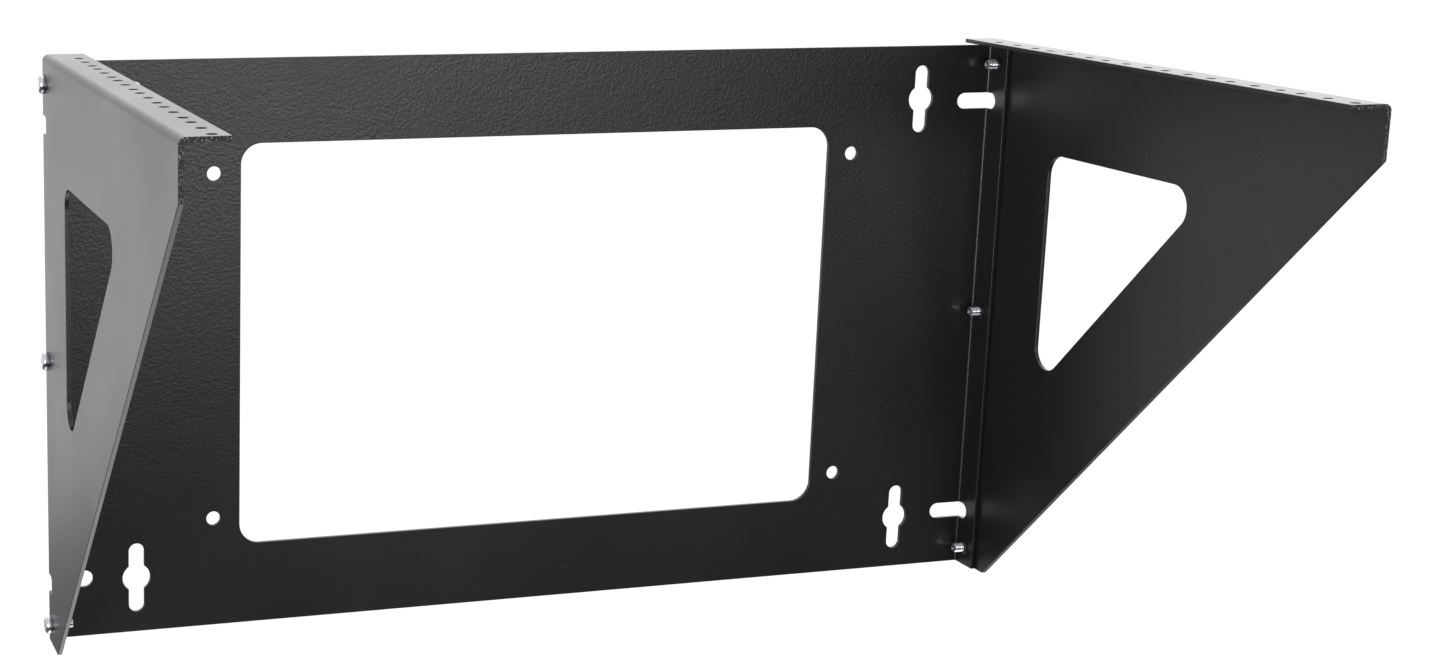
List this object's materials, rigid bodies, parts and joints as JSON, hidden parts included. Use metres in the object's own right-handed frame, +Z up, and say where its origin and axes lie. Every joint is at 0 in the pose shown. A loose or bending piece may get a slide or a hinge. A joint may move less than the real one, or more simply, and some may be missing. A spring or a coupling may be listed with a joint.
{
  "type": "wall mount open frame rack",
  "caption": "Open frame that hangs on a wall: a bent back plate with a large window and two triangular side brackets whose drilled top flanges carry rack equipment upright.",
  "frame": {"origin": "on the wall face, at the centre of the back plate", "axes": "+X to the right as seen from the room, +Y into the wall, +Z up"},
  "size_m": [0.4974, 0.2825, 0.2783],
  "materials": {
    "powder_coat": "satin black powder coat with a fine orange peel texture",
    "zinc_steel": "bright zinc plate"
  },
  "bodies": {
    "root": {"back_plate": "powder_coat", "left_bracket": "powder_coat", "right_bracket": "powder_coat", "screw_left_top": "zinc_steel", "screw_left_middle": "zinc_steel", "screw_left_bottom": "zinc_steel", "screw_right_top": "zinc_steel", "screw_right_middle": "zinc_steel", "screw_right_bottom": "zinc_steel"}
  },
  "joints": []
}
